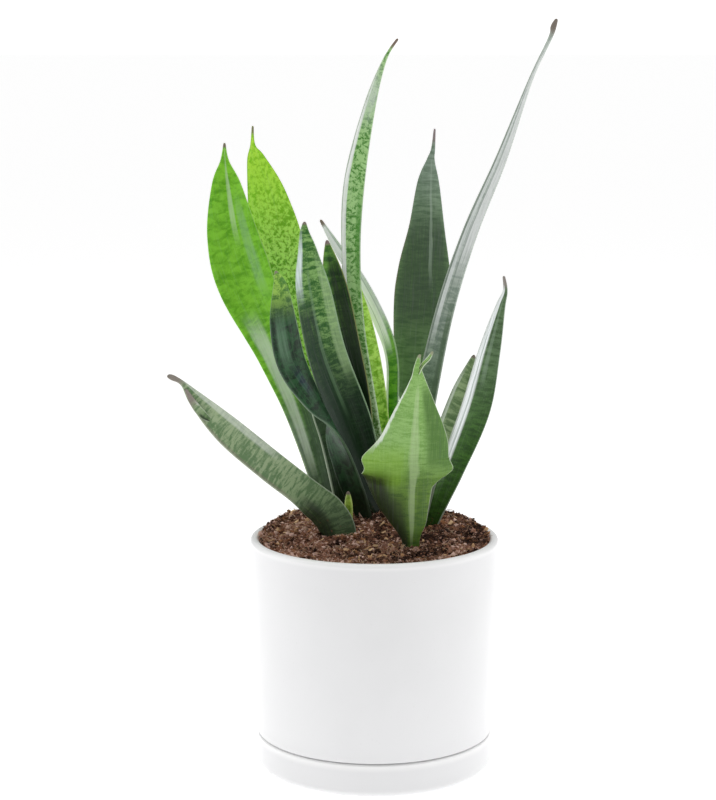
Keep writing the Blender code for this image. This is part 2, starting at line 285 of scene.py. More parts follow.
lip = pot_wall / 2
pot_profile = arc(rim_radius - lip, rim_height - lip, lip, 180, 0, 18)
pot_profile += arc(saucer_radius - shoulder_round, shoulder_height + shoulder_round, shoulder_round,
                   0, -90, 5)
pot_profile += [(foot_radius, shoulder_height)]
pot_profile += arc(foot_radius - foot_edge_round, foot_bottom + foot_edge_round, foot_edge_round,
                   0, -90, 8)
pot_profile += [(drain_radius, foot_bottom), (drain_radius, pot_floor)]
pot_profile += arc(foot_radius - pot_wall - inner_round, pot_floor + inner_round, inner_round,
                   -90, 0, 6)
pot_profile += [(foot_radius - pot_wall, ledge_height)]
pot_profile += [(saucer_radius - pot_wall, ledge_height + inner_round)]
pot_mesh = turned_mesh("pot_turning", pot_profile)
pot_mesh.materials.append(glazed_stoneware(
    "pot_glaze", glaze="EDEDEE", cloud="E7E7E8", foot_height=shoulder_height,
    lip_highlight_height=rim_height, seed=8.0))
place("planter", pot_mesh, "pot", "pot")

# ---------------------------------------------------------------------------------------
# Potting mix: damp coir and fine bark, filled nearly to the lip and heaped round the clump.
# Crumbs, bark chips and coir fibres lie loose over its lumpy top.
soil_edge_height = 140.5 * MM
soil_radius = rim_radius - pot_wall - 0.35 * MM
soil_gap = 0.4 * MM
mound_height = 9.5 * MM
mound_centre = (-5 * MM, 30 * MM)
mound_spread = (38 * MM, 30 * MM)
soil_tilt = 1.5 * MM


def soil_lift(x, y):
    """Height of the heaped mix at (x, y) above its edge height."""
    across = (x - mound_centre[0]) / mound_spread[0]
    along = (y - mound_centre[1]) / mound_spread[1]
    heap = mound_height * exp(-(across ** 2 + along ** 2) / 2) + soil_tilt * y / rim_radius
    return heap + 2.2 * MM * min(1.0, max(0.0, 0.35 + y / rim_radius))


def potting_mix(name, dark, mid, light, roughness=0.95):
    """Crumb colour from the tone each grain carries. Damp patches darken it, more toward +X."""
    material, tree, shader = new_material(name, roughness, Specular_IOR_Level=0.25)
    tone = add(tree, "ShaderNodeAttribute", attribute_name="tone").outputs["Fac"]
    place_at = add(tree, "ShaderNodeTexCoord").outputs["Object"]
    grain = noise(tree, place_at, 1400.0, 3.0, 0.65)
    damp = noise(tree, place_at, 55.0, 2.0)
    dry = calc(tree, "MULTIPLY_ADD", xyz(tree, place_at)[0], -1.4, damp)
    level = calc(tree, "ADD", calc(tree, "MULTIPLY_ADD", tone, 1.0, -0.1),
                 calc(tree, "MULTIPLY_ADD", grain, 0.8, -0.3))
    level = calc(tree, "ADD", level, calc(tree, "MULTIPLY_ADD", dry, 1.4, -0.7))
    ramp = add(tree, "ShaderNodeValToRGB", {"Fac": level})
    stops = ramp.color_ramp.elements
    stops[0].position, stops[1].position = 0.12, 0.95
    stops[0].color, stops[1].color = paint(dark), paint(light)
    stops.new(0.5).color = paint(mid)
    tree.links.new(ramp.outputs[0], shader.inputs["Base Color"])
    bump = add(tree, "ShaderNodeBump", {"Height": grain, "Strength": 0.6, "Distance": 0.0004})
    tree.links.new(bump.outputs[0], shader.inputs["Normal"])
    return material


def named(tree, label):
    """A named vector attribute as a field."""
    node = add(tree, "GeometryNodeInputNamedAttribute", {"Name": label}, data_type="FLOAT_VECTOR")
    return node.outputs["Attribute"]


def position(tree):
    return add(tree, "GeometryNodeInputPosition").outputs[0]


def moved(tree, geometry, **to):
    """The geometry with its points shifted by an Offset or put at a Position."""
    return add(tree, "GeometryNodeSetPosition", {"Geometry": geometry, **to}).outputs[0]


def store(tree, geometry, label, value, kind="FLOAT", domain="POINT"):
    """The geometry with a value kept under a name."""
    node = add(tree, "GeometryNodeStoreNamedAttribute",
               {"Geometry": geometry, "Name": label, "Value": value},
               data_type=kind, domain=domain)
    return node.outputs["Geometry"]


def random_value(tree, low, high, seed, kind="FLOAT"):
    """A random number or vector for each point or instance, from a fixed seed."""
    node = add(tree, "FunctionNodeRandomValue", {"Seed": seed}, data_type=kind)
    first = 0 if kind == "FLOAT_VECTOR" else 2
    node.inputs[first].default_value = low
    node.inputs[first + 1].default_value = high
    return node.outputs[0 if kind == "FLOAT_VECTOR" else 1]


def close_tree(tree, geometry, source, result):
    """Every tree ends alike: instances made real, then the material."""
    real = add(tree, "GeometryNodeRealizeInstances", {"Geometry": geometry}).outputs[0]
    done = add(tree, "GeometryNodeSetMaterial",
               {"Geometry": real, "Material": source.outputs["Material"]}).outputs[0]
    tree.links.new(done, result.inputs[0])


def grow(mesh, tree, values):
    """The plain mesh that a Geometry Nodes tree makes from a start mesh."""
    start = bpy.data.objects.new("start", mesh)
    bpy.context.scene.collection.objects.link(start)
    modifier = start.modifiers.new("grow", "NODES")
    modifier.node_group = tree
    for socket in tree.interface.items_tree:
        if socket.in_out == "INPUT" and socket.name in values:
            modifier[socket.identifier] = values[socket.name]
    grown = bpy.data.meshes.new_from_object(
        start.evaluated_get(bpy.context.evaluated_depsgraph_get()))
    start.modifiers.remove(modifier)
    bpy.data.objects.remove(start, do_unlink=True)
    return grown


def lumpy_top_tree():
    """Raises the top of the mix in soft lumps and small crumbs of two sizes."""
    tree, source, result = group_tree(
        "lumpy_top", "GeometryNodeTree",
        {"Geometry": "Geometry", "Top Height": 0.14, "Lump Height": 0.003, "Grain Height": 0.001,
         "Material": "Material"}, {"Geometry": "Geometry"})
    given = source.outputs
    where = position(tree)
    x, y, z = xyz(tree, where)
    reach = calc(tree, "SQRT", calc(tree, "ADD", calc(tree, "POWER", x, 2.0),
                                    calc(tree, "POWER", y, 2.0)))
    top = ease(tree, z, minus(tree, given["Top Height"], 0.002), given["Top Height"])
    top = times(tree, top, ease(tree, reach, soil_radius, soil_radius - 4 * MM))
    lump = minus(tree, noise(tree, where, 95.0, 2.0), 0.5)
    grain = minus(tree, noise(tree, where, 420.0, 3.0, 0.6), 0.5)
    rise = calc(tree, "ADD", times(tree, lump, given["Lump Height"]),
                times(tree, grain, given["Grain Height"]))
    raised = moved(tree, given["Geometry"], Offset=vector_of(tree, 0.0, 0.0, times(tree, rise, top)))
    toned = store(tree, raised, "tone", calc(tree, "MULTIPLY_ADD", grain, 0.9, 0.3))
    close_tree(tree, toned, source, result)
    return tree


def scatter_tree(name, make_grain, heap):
    """Scatters one kind of grain over the upward faces of a surface."""
    tree, source, result = group_tree(
        name, "GeometryNodeTree",
        {"Geometry": "Geometry", "Density": 1000.0, "Smallest": 0.001, "Largest": 0.002,
         "Top Height": 0.14, "Seed": 1, "Material": "Material"}, {"Geometry": "Geometry"})
    given = source.outputs
    height = xyz(tree, position(tree))[2]
    upward = xyz(tree, add(tree, "GeometryNodeInputNormal").outputs[0])[2]
    chosen = add(tree, "FunctionNodeBooleanMath", {
        0: calc(tree, "GREATER_THAN", height, given["Top Height"]),
        1: calc(tree, "GREATER_THAN", upward, 0.3)}).outputs[0]
    points = add(tree, "GeometryNodeDistributePointsOnFaces",
                 {"Mesh": given["Geometry"], "Selection": chosen,
                  "Density": given["Density"], "Seed": given["Seed"]}).outputs[0]
    size = calc(tree, "MULTIPLY_ADD", calc(tree, "POWER", random_value(tree, 0.0, 1.0, 11), 2.2),
                minus(tree, given["Largest"], given["Smallest"]), given["Smallest"])
    lifted = moved(tree, points, Offset=vector_of(tree, 0.0, 0.0, times(tree, size, heap)))
    uneven = random_value(tree, (0.65, 0.65, 0.5), (1.25, 1.1, 1.0), 23, "FLOAT_VECTOR")
    turned = random_value(tree, (-0.7, -0.7, 0.0), (0.7, 0.7, 2 * pi), 31, "FLOAT_VECTOR")
    scattered = add(tree, "GeometryNodeInstanceOnPoints",
                    {"Points": lifted, "Instance": make_grain(tree), "Pick Instance": True,
                     "Rotation": turned, "Scale": stretch(tree, uneven, size)}).outputs[0]
    toned = store(tree, scattered, "tone", random_value(tree, 0.0, 1.0, 47), domain="INSTANCE")
    close_tree(tree, toned, source, result)
    return tree


def choice(tree, shapes):
    """Shapes as separate instances, for the scatter to pick from."""
    kinds = add(tree, "GeometryNodeJoinGeometry")
    for shape in shapes:
        single = add(tree, "GeometryNodeGeometryToInstance", {"Geometry": shape}).outputs[0]
        tree.links.new(single, kinds.inputs[0])
    return kinds.outputs[0]


def dented(tree, solid, shift, scale, push):
    """A solid whose surface is pushed about by noise."""
    shifted = vector_calc(tree, "ADD", position(tree), shift)
    dent = add(tree, "ShaderNodeTexNoise", {"Vector": shifted, "Scale": scale}).outputs["Color"]
    centred = vector_calc(tree, "SUBTRACT", dent, (0.5, 0.5, 0.5))
    return moved(tree, solid, Offset=stretch(tree, centred, push))


def crumb_shapes(tree):
    """Five rough crumbs of unit size."""
    balls = [add(tree, "GeometryNodeMeshIcoSphere", {"Radius": 0.5, "Subdivisions": 1}).outputs[0]
             for _ in range(5)]
    return choice(tree, [dented(tree, ball, (i * 7.3, 0.0, 0.0), 2.3, 1.5)
                         for i, ball in enumerate(balls)])


def chip_shapes(tree):
    """Three flat, skewed bark chips of unit length."""
    blocks = [add(tree, "GeometryNodeMeshCube",
                  {"Size": (1.0, 0.55 - 0.1 * i, 0.28), "Vertices X": 3}).outputs[0]
              for i in range(3)]
    return choice(tree, [dented(tree, block, (0.0, i * 5.1, 2.0), 1.7, 0.9)
                         for i, block in enumerate(blocks)])


def fibre_shapes(tree):
    """Three bent coir fibres of unit length, with four sides."""
    tubes = []
    for bend in (0.35, -0.2, 0.6):
        line = add(tree, "GeometryNodeCurveQuadraticBezier",
                   {"Resolution": 5, "Start": (-0.5, 0.0, 0.0), "Middle": (0.0, bend, 0.25),
                    "End": (0.5, 0.1, 0.0)}).outputs[0]
        ring = add(tree, "GeometryNodeCurvePrimitiveCircle",
                   {"Resolution": 4, "Radius": 0.022}).outputs[0]
        tubes.append(add(tree, "GeometryNodeCurveToMesh",
                         {"Curve": line, "Profile Curve": ring, "Fill Caps": True}).outputs[0])
    return choice(tree, tubes)


soil_rings = 66
soil_profile = [(soil_radius * i / soil_rings, soil_edge_height) for i in range(soil_rings + 1)]
soil_profile += [(soil_radius - 0.3 * MM, soil_edge_height - 6 * MM)]
soil_profile += [(saucer_radius - pot_wall - soil_gap, ledge_height + inner_round + soil_gap)]
soil_profile += [(foot_radius - pot_wall - soil_gap, ledge_height + soil_gap)]
soil_profile += [(foot_radius - pot_wall - soil_gap, pot_floor + soil_gap)]
soil_profile += [(0.0, pot_floor + soil_gap)]
soil_blank = turned_mesh("soil_turning", soil_profile, sides=240)
for vertex in soil_blank.vertices:
    if vertex.co.z > soil_edge_height - 0.1 * MM:
        vertex.co.z += soil_lift(vertex.co.x, vertex.co.y)

soil_top = soil_edge_height - 3 * MM
coir_mix = potting_mix("coir_mix", "2C1810", "92664F", "E0BEB0")
bark_mix = potting_mix("bark_chip", "3A2214", "9C6A48", "DDBB92")
coir_fibre = potting_mix("coir_fibre", "5E3C2A", "B08A6C", "E2C9AC", roughness=0.8)
soil_mesh = grow(soil_blank, lumpy_top_tree(), {
    "Top Height": soil_top, "Lump Height": 7.5 * MM, "Grain Height": 3.0 * MM,
    "Material": coir_mix})
place("potting_mix", soil_mesh, "soil", "soil")

loose_layers = [
    ("soil_crumbs", crumb_shapes, coir_mix, 260000.0, 0.7, 2.4, 0.16, 5),
    ("soil_lumps", crumb_shapes, coir_mix, 24000.0, 1.8, 4.2, 0.12, 6),
    ("bark_chips", chip_shapes, bark_mix, 52000.0, 1.0, 4.2, 0.25, 7),
    ("coir_fibres", fibre_shapes, coir_fibre, 90000.0, 2.0, 7.0, 0.16, 8),
]
for label, shapes, material, density, smallest, largest, heap, seed in loose_layers:
    layer = grow(soil_mesh, scatter_tree(label + "_scatter", shapes, heap), {
        "Density": density, "Smallest": smallest * MM, "Largest": largest * MM,
        "Top Height": soil_top, "Seed": seed, "Material": material})
    place(label, layer, "soil")

# ---------------------------------------------------------------------------------------
# Leaves: stiff, fleshy living blades that rise from a rhizome buried in the mix. Each is a
# channel near its foot and opens flatter above, with cross-banded mottling, a thin horny
# margin and a dry awl-like tip. All of them share one rule of growth and one skin.


def blade_tree():
    """Skins a leaf blade over a smooth line of stations, from its foot to its tip."""
    tree, source, result = group_tree(
        "leaf_blade", "GeometryNodeTree",
        {"Stations": "Geometry", "Columns": 44, "Rows": 150, "Ripple": 0.0, "Ripple Length": 0.03,
         "Seed": 0.0, "Material": "Material"}, {"Geometry": "Geometry"})
    given = source.outputs
    line = add(tree, "GeometryNodeMeshToCurve", {0: given["Stations"]}).outputs[0]
    line = add(tree, "GeometryNodeCurveSplineType", {"Curve": line},
               spline_type="CATMULL_ROM").outputs[0]
    line = add(tree, "GeometryNodeSetSplineResolution", {0: line, "Resolution": 24}).outputs[0]
    length = add(tree, "GeometryNodeCurveLength", {0: line}).outputs[0]
    grid = add(tree, "GeometryNodeMeshGrid",
               {"Size X": 1.0, "Size Y": 1.0, "Vertices X": given["Columns"],
                "Vertices Y": given["Rows"]})
    column_at, row_at, _ = xyz(tree, position(tree))
    row = calc(tree, "ADD", row_at, 0.5)
    angle = times(tree, minus(tree, 0.5, column_at), 2 * pi)
    factor = minus(tree, 1.0, calc(tree, "POWER", minus(tree, 1.0, row), 1.5))

    def sample(value):
        return add(tree, "GeometryNodeSampleCurve",
                   {"Curves": line, "Value": value, "Factor": factor},
                   data_type="FLOAT_VECTOR", mode="FACTOR", use_all_curves=True).outputs

    spread = sample(named(tree, "spread"))
    left_half, right_half, thickness = xyz(tree, spread["Value"])
    roll, left_fold, right_fold = xyz(tree, sample(named(tree, "wrap"))["Value"])

    def vector(operation, a, b=(0.0, 0.0, 0.0)):
        return vector_calc(tree, operation, a, b)

    # The frame of the row: its heading, the direction across the blade and the one out of it.
    heading = vector("NORMALIZE", spread["Tangent"])
    front = (0.0, -1.0, 0.0)
    lean = add(tree, "ShaderNodeVectorMath", {0: heading, 1: front},
               operation="DOT_PRODUCT").outputs[1]
    face = vector("NORMALIZE", vector("SUBTRACT", front, stretch(tree, heading, lean)))
    side = vector("CROSS_PRODUCT", heading, face)
    roll_cos, roll_sin = calc(tree, "COSINE", roll), calc(tree, "SINE", roll)
    across = vector("ADD", stretch(tree, side, roll_cos), stretch(tree, face, roll_sin))
    out = vector("SUBTRACT", stretch(tree, face, roll_cos), stretch(tree, side, roll_sin))

    # The section of the row: each half bends by its own fold, and a ripple lifts the margins.
    v = calc(tree, "COSINE", angle)
    rightward = calc(tree, "GREATER_THAN", v, 0.0)

    def either(left, right):
        return add(tree, "ShaderNodeMix", {0: rightward, 2: left, 3: right},
                   data_type="FLOAT").outputs[0]

    half = either(left_half, right_half)
    fold = either(left_fold, right_fold)
    bend = times(tree, fold, v)
    bend_cos, bend_sin = calc(tree, "COSINE", bend), calc(tree, "SINE", bend)
    x = calc(tree, "DIVIDE", times(tree, half, bend_sin), fold)
    y = calc(tree, "DIVIDE", times(tree, half, minus(tree, 1.0, bend_cos)), fold)
    along = times(tree, factor, length)
    ripple_at = vector_of(tree, times(tree, v, 0.6),
                          calc(tree, "DIVIDE", along, given["Ripple Length"]), given["Seed"])
    ripple = minus(tree, noise(tree, ripple_at, 1.0, 1.0), 0.5)
    ripple = times(tree, ripple, times(tree, given["Ripple"], times(tree, v, v)))
    y = calc(tree, "ADD", y, times(tree, ripple, times(tree, half, 2.0)))
    sine = calc(tree, "SINE", angle)
    skin = times(tree, calc(tree, "POWER", calc(tree, "ABSOLUTE", sine), 0.55),
                 times(tree, calc(tree, "SIGN", sine), 0.5))
    skin = times(tree, skin, thickness)

    # The sections close to a point at the foot, and in a round over the last of the tip.
    tip_reach = calc(tree, "DIVIDE", 1.2 * MM, length)
    into_tip = calc(tree, "DIVIDE", minus(tree, factor, minus(tree, 1.0, tip_reach)), tip_reach)
    into_tip = calc(tree, "MAXIMUM", into_tip, 0.0)
    closing = calc(tree, "SQRT", calc(
        tree, "MAXIMUM", minus(tree, 1.0, times(tree, into_tip, into_tip)), 0.0))
    for end in (row, minus(tree, 1.0, row)):
        closing = times(tree, closing, calc(tree, "MINIMUM", times(tree, end, given["Rows"]), 1.0))

    level = vector("SUBTRACT", stretch(tree, out, bend_cos), stretch(tree, across, bend_sin))
    section = vector("ADD", stretch(tree, across, x), stretch(tree, out, y))
    section = vector("ADD", section, stretch(tree, level, skin))
    target = vector("ADD", spread["Position"], stretch(tree, section, closing))

    # What the skin is coloured by: the spot on the blade, and how far the margin and tip are.
    blade = store(tree, grid.outputs[0], "UVMap", grid.outputs[1], "FLOAT2", "CORNER")
    spot = vector_of(tree, times(tree, v, half), along, sine)
    blade = store(tree, blade, "blade", spot, "FLOAT_VECTOR")
    to_edge = times(tree, half, minus(tree, 1.0, calc(tree, "ABSOLUTE", v)))
    reach = vector_of(tree, to_edge, minus(tree, length, along), factor)
    blade = store(tree, blade, "reach", reach, "FLOAT_VECTOR")
    blade = store(tree, blade, "half_across", v)
    blade = moved(tree, blade, Position=target)
    blade = add(tree, "GeometryNodeMergeByDistance", {"Geometry": blade, "Distance": 0.000001})
    close_tree(tree, blade.outputs[0], source, result)
    return tree


BLADE_TREE = blade_tree()


def mottling():
    """Pigment of the skin: irregular cross-bands and flecks of a darker or lighter green."""
    tree, source, result = group_tree(
        "leaf_mottling", "ShaderNodeTree",
        {"Blade": "Vector", "Rise": 0.5, "Low Ground": "Color", "Low Mark": "Color",
         "High Ground": "Color", "High Mark": "Color", "Turn Start": 0.2, "Turn End": 0.7,
         "Across Scale": 90.0, "Along Scale": 330.0, "Cover": 0.5, "Softness": 0.1,
         "Fleck": 0.35, "Warp": 0.7, "Seed": 0.0}, {"Color": "Color", "Mark": "Float"})
    given = source.outputs
    x, y, front = xyz(tree, given["Blade"])
    back = calc(tree, "LESS_THAN", front, 0.0)
    depth = calc(tree, "MULTIPLY_ADD", back, 9.0, given["Seed"])

    def pattern(across_scale, along_scale, *settings):
        at = vector_of(tree, times(tree, x, across_scale), times(tree, y, along_scale), depth)
        return noise(tree, at, 1.0, 2.0, *settings)

    bands = pattern(given["Across Scale"], given["Along Scale"], 0.55, given["Warp"])
    clouds = pattern(40.0, 55.0, 0.5)
    flecks = pattern(1500.0, 900.0, 0.6)
    level = calc(tree, "MULTIPLY_ADD", minus(tree, flecks, 0.5), given["Fleck"], bands)
    level = calc(tree, "MULTIPLY_ADD", minus(tree, clouds, 0.5), 0.45, level)
    mark = ease(tree, level, minus(tree, given["Cover"], given["Softness"]),
                calc(tree, "ADD", given["Cover"], given["Softness"]))
    climb = ease(tree, given["Rise"], given["Turn Start"], given["Turn End"])
    ground = mix(tree, climb, given["Low Ground"], given["High Ground"])
    marked = mix(tree, climb, given["Low Mark"], given["High Mark"])
    send(tree, result, Color=mix(tree, mark, marked, ground), Mark=mark)
    return tree


def lengthwise_zone():
    """A zone that runs along the blade: a face of another green, painted shade, or a painted silvery
    reflection over wax and bare skin.
    """
    tree, source, result = group_tree(
        "lengthwise_zone", "ShaderNodeTree",
        {"Color": "Color", "Shine": 0.0, "Streak": 0.5, "Half Across": 0.0, "Rise": 0.5,
         "Tint": "Color", "Centre": 0.0, "Width": 0.3, "From": 0.0, "To": 1.0, "Amount": 0.0,
         "Wax": 0.0}, {"Color": "Color", "Shine": "Float"})
    given = source.outputs
    off = calc(tree, "ABSOLUTE", minus(tree, given["Half Across"], given["Centre"]))
    off = calc(tree, "MULTIPLY_ADD", minus(tree, given["Streak"], 0.5), 0.25, off)
    strip = ease(tree, off, given["Width"], times(tree, given["Width"], 0.55))
    climb = ease(tree, given["Rise"], given["From"], calc(tree, "ADD", given["From"], 0.1))
    fade = ease(tree, given["Rise"], given["To"], minus(tree, given["To"], 0.1))
    amount = times(tree, times(tree, strip, times(tree, climb, fade)), given["Amount"])
    amount = times(tree, amount, calc(
        tree, "MULTIPLY_ADD", ease(tree, given["Streak"], 0.3, 0.6), 0.35, 0.65))
    send(tree, result, Color=mix(tree, amount, given["Color"], given["Tint"]),
         Shine=calc(tree, "MULTIPLY_ADD", amount, given["Wax"], given["Shine"]))
    return tree


def margin_and_tip():
    """The horny margin line, the withered tip, and crumbs and shade at the foot."""
    tree, source, result = group_tree(
        "margin_and_tip", "ShaderNodeTree",
        {"Color": "Color", "Reach": "Vector", "Blade": "Vector", "Margin": "Color",
         "Margin Width": 0.0008, "Margin Amount": 0.8, "Tip": "Color", "Tip Length": 0.008,
         "Foot Height": 0.03, "Foot Shade": 0.3}, {"Color": "Color", "Dry": "Float"})
    given = source.outputs
    to_edge, to_tip, _ = xyz(tree, given["Reach"])
    grain = noise(tree, given["Blade"], 260.0, 3.0, 0.6)
    ragged = minus(tree, grain, 0.5)
    shifted_edge = calc(tree, "MULTIPLY_ADD", ragged, 0.0006, to_edge)
    line = ease(tree, shifted_edge, given["Margin Width"], times(tree, given["Margin Width"], 0.4))
    colour = mix(tree, times(tree, line, given["Margin Amount"]), given["Color"], given["Margin"])
    tip = calc(tree, "MULTIPLY_ADD", ragged, given["Tip Length"], to_tip)
    dry = ease(tree, tip, given["Tip Length"], times(tree, given["Tip Length"], 0.5))
    colour = mix(tree, dry, colour, mix(tree, grain, given["Tip"], paint("8D8379")))
    place_at = add(tree, "ShaderNodeTexCoord").outputs["Object"]
    above = minus(tree, xyz(tree, place_at)[2], soil_edge_height)
    foot = times(tree, ease(tree, above, given["Foot Height"], 0.0), given["Foot Shade"])
    colour = mix(tree, foot, colour, paint("141C12"))
    splash = ease(tree, noise(tree, place_at, 520.0, 2.0), 0.66, 0.70)
    splash = times(tree, splash, ease(tree, above, 0.024, 0.006))
    colour = mix(tree, times(tree, splash, 0.75), colour, paint("6E4C38"))
    send(tree, result, Color=colour, Dry=dry)
    return tree


MOTTLING = mottling()
LENGTHWISE_ZONE = lengthwise_zone()
MARGIN_AND_TIP = margin_and_tip()


def leaf_skin(name, seed, low, high, turn=(0.3, 0.7), scale=(90.0, 330.0), cover=0.5, soft=0.18,
              fleck=0.35, warp=0.7, zones=(), margin=("C4D2B6", 0.6, 0.35), tip=("6E675C", 3.0),
              foot=(35.0, 0.5), lines=("E8EEEA", 0.03), glow=0.0):
    """Living leaf skin. low and high are the ground and mark colours near the foot and near the
    tip, turn is where one gives way to the other, and scale is the fineness of the marks across
    and along. A zone is colour, centre and width across (-1 left to 1 right), from, to, amount
    and wax. margin is colour, width and amount, tip is colour and length, and foot is the
    height and amount of the shade, all in millimetres. lines are fine lengthwise ribs: colour
    and amount. glow is the light let through."""
    gloss = 0.36
    material, tree, shader = new_material(name, gloss, Coat_Roughness=0.2, Specular_IOR_Level=0.2)
    if glow:
        shader.inputs["Subsurface Weight"].default_value = glow
        shader.inputs["Subsurface Radius"].default_value = (0.6, 1.0, 0.15)
        shader.inputs["Subsurface Scale"].default_value = 0.004
    blade = add(tree, "ShaderNodeAttribute", attribute_name="blade").outputs["Vector"]
    reach = add(tree, "ShaderNodeAttribute", attribute_name="reach").outputs["Vector"]
    half_across = add(tree, "ShaderNodeAttribute", attribute_name="half_across").outputs["Fac"]
    rise = xyz(tree, reach)[2]
    x, y, _ = xyz(tree, blade)
    strand = vector_of(tree, times(tree, x, 900.0), times(tree, y, 28.0), seed)
    streak = noise(tree, strand, 1.0, 3.0, 0.6)
    pigment = add(tree, "ShaderNodeGroup", {
        "Blade": blade, "Rise": rise, "Low Ground": paint(low[0]), "Low Mark": paint(low[1]),
        "High Ground": paint(high[0]), "High Mark": paint(high[1]), "Turn Start": turn[0],
        "Turn End": turn[1], "Across Scale": scale[0], "Along Scale": scale[1], "Cover": cover,
        "Softness": soft, "Fleck": fleck, "Warp": warp, "Seed": seed}, node_tree=MOTTLING)
    colour, shine = pigment.outputs["Color"], 0.03
    # Zones give faces of another green, painted shade, and painted silvery reflections; their wax
    # adds real shine to the coat.
    for tint, centre, width, start, end, amount, wax in zones:
        zone = add(tree, "ShaderNodeGroup", {
            "Color": colour, "Shine": shine, "Streak": streak, "Half Across": half_across,
            "Rise": rise, "Tint": paint(tint), "Centre": centre, "Width": width, "From": start,
            "To": end, "Amount": amount, "Wax": wax}, node_tree=LENGTHWISE_ZONE)
        colour, shine = zone.outputs["Color"], zone.outputs["Shine"]
    ribs = times(tree, ease(tree, streak, 0.5, 0.66), lines[1])
    colour = mix(tree, ribs, colour, paint(lines[0]))
    edges = add(tree, "ShaderNodeGroup", {
        "Color": colour, "Reach": reach, "Blade": blade, "Margin": paint(margin[0]),
        "Margin Width": margin[1] * MM, "Margin Amount": margin[2], "Tip": paint(tip[0]),
        "Tip Length": tip[1] * MM, "Foot Height": foot[0] * MM, "Foot Shade": foot[1]},
        node_tree=MARGIN_AND_TIP)
    tree.links.new(edges.outputs["Color"], shader.inputs["Base Color"])
    if zones:
        tree.links.new(shine, shader.inputs["Coat Weight"])
    rough = calc(tree, "MULTIPLY_ADD", streak, 0.2, gloss - 0.1)
    rough = calc(tree, "MULTIPLY_ADD", edges.outputs["Dry"], 0.35, rough)
    tree.links.new(rough, shader.inputs["Roughness"])
    relief = calc(tree, "MULTIPLY_ADD", pigment.outputs["Mark"], 0.35, streak)
    bump = add(tree, "ShaderNodeBump", {"Height": relief, "Strength": 0.25, "Distance": 0.0004})
    tree.links.new(bump.outputs[0], shader.inputs["Normal"])
    return material


def pair(value):
    """The left and right value of a measure that may be the same on both sides."""
    return value if isinstance(value, tuple) else (value, value)


def grow_blade(name, seed, stations, material, node, rows):
    """A blade over its stations. Each is, in millimetres and degrees: x, y, z, half width, roll,
    fold and thickness. A half width or fold that differs by side is a pair, left then right."""
    facts = np.array([(x, y, z, *pair(half), roll, *pair(fold), thickness)
                      for x, y, z, half, roll, fold, thickness in stations], float)
    line = bpy.data.meshes.new(name)
    count = len(facts)
    line.from_pydata((facts[:, :3] * MM).tolist(), [(i, i + 1) for i in range(count - 1)], [])
    spread = line.attributes.new("spread", "FLOAT_VECTOR", "POINT")
    spread.data.foreach_set("vector", (facts[:, [3, 4, 8]] * MM).ravel())
    wrap = line.attributes.new("wrap", "FLOAT_VECTOR", "POINT")
    wrap.data.foreach_set("vector", np.radians(facts[:, 5:8]).ravel())
    mesh = grow(line, BLADE_TREE, {"Columns": 45, "Rows": rows, "Ripple": 0.05,
                                   "Ripple Length": 0.035, "Seed": seed, "Material": material})
    mesh.shade_smooth()
    place(name + "_blade", mesh, node, node)


def leaf(name, seed, stations, rows=150, **look):
    """A whole leaf: its own skin, and the blade that stands for the node of the same name."""
    skin = leaf_skin(name + "_skin", seed, **look)
    grow_blade(name, seed, stations, skin, name, rows)
    return skin


# ---------------------------------------------------------------------------------------
# Low leaf on the left: a living blade rooted in the mix that leans out over the lip. It is a
# shallow grey-green channel with darker cross-bands and a shrivelled tip, and a sliver torn
# from its lower margin hangs on near the tip.
low_left_skin = leaf("leaf_low_left", 11.0, [
    (-22, -8, 124, 8.5, -8, (-50, 30), 4.8),
    (-22.5, -8, 146, (11, 11.5), -10, (-60, 22), 4.2),
    (-28, -8.5, 159, (11.8, 10.6), -18, (-55, 26), 3.5),
    (-35, -9.5, 166, (11, 9.8), -20, (-35, 27), 3.3),
    (-45, -11, 174, (9.8, 9.7), -22, (18, 28), 2.9),
    (-64, -14, 189.4, 10, -24, 26, 2.5),
    (-88, -23, 212, 9.2, -24, 26, 2.2),
    (-105, -33, 232, 5.2, -20, 26, 1.8),
    (-113, -37, 243, 1.6, -20, 26, 1.6),
    (-119, -39, 247, (1.7, 1.6), -20, 26, 1.6),
    (-122, -40, 248, 0.9, -20, 26, 1.1),
], low=("6C885A", "48633C"), high=("9AAE86", "66845A"),
    turn=(0.15, 0.5), scale=(110.0, 460.0), soft=0.12,
    # The pale first zone, toward the tip, is a painted sheen; the dark third zone is painted shade
    # over the lower left, where the blade turns under.
    zones=[("D5DDD0", 0.85, 0.4, 0.45, 1.1, 0.6, 0.4), ("8A7F76", -1.0, 0.22, 0.3, 0.9, 0.5, 0.0),
           ("2A3822", -0.75, 0.75, -0.2, 0.36, 0.92, 0.0)],
    margin=("C9D2BE", 0.5, 0.4), tip=("8E8A82", 14.0))
grow_blade("leaf_low_left_sliver", 21.0, [
    (-97.5, -31, 220, 1.2, -20, 20, 1.0),
    (-102, -33.5, 224, 2.6, -20, 30, 1.0),
    (-107, -36, 231, 2.2, -20, 30, 1.0),
    (-111.5, -38, 240, 0.8, -20, 30, 0.8),
], low_left_skin, "leaf_low_left", rows=40)
